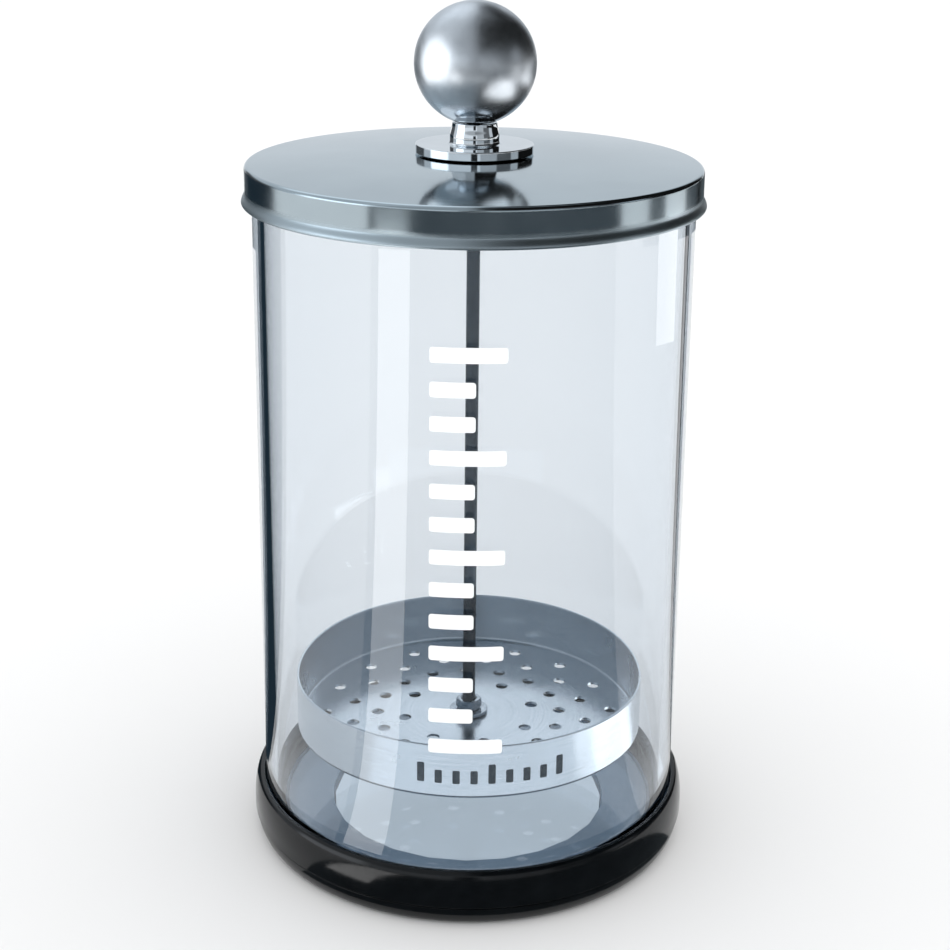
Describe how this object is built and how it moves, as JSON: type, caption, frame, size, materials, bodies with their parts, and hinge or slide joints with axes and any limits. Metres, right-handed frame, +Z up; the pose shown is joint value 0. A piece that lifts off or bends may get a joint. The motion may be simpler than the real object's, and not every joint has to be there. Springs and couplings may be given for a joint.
{
  "type": "disinfectant jar",
  "caption": "Clear glass cylinder in a black rubber foot ring, with a metal lid whose ball knob carries a rod and a perforated tray that lifts out with it.",
  "frame": {"origin": "centre of the foot ring's underside, on the surface the jar stands on", "axes": "+Z up along the jar's axis of revolution; the jar has no front, and +X and +Y are free but for the tray's hole pattern, which starts 2.5 degrees from +X"},
  "size_m": [0.1372, 0.1372, 0.2587],
  "materials": {
    "rubber": "smooth moulded, semi-gloss",
    "clear_glass": "clear, polished",
    "lid_steel": "polished",
    "satin_chrome": "satin",
    "bright_chrome": "bright",
    "rod_steel": "drawn, polished",
    "fastener_steel": "machined",
    "tray_steel": "brushed"
  },
  "bodies": {
    "jar": {"foot_ring": "rubber", "glass_jar": "clear_glass"},
    "lid_cover": {"lid": "lid_steel"},
    "carrier": {"knob_ball": "satin_chrome", "knob_collar": "bright_chrome", "rod": "rod_steel", "lid_washer": "fastener_steel", "lid_nut": "fastener_steel", "tray": "tray_steel", "tray_top_nut": "fastener_steel", "tray_top_washer": "fastener_steel", "tray_bottom_washer": "fastener_steel", "tray_cap_nut": "fastener_steel"}
  },
  "joints": [
    {"name": "lid_lift", "type": "slide", "parent": "jar", "child": "lid_cover", "axis": [0, 0, 1], "range_m": [0, 0.2]},
    {"name": "knob_turn", "type": "hinge", "parent": "lid_cover", "child": "carrier", "pos_m": [0, 0, 0.2], "axis": [0, 0, 1], "continuous": true}
  ]
}
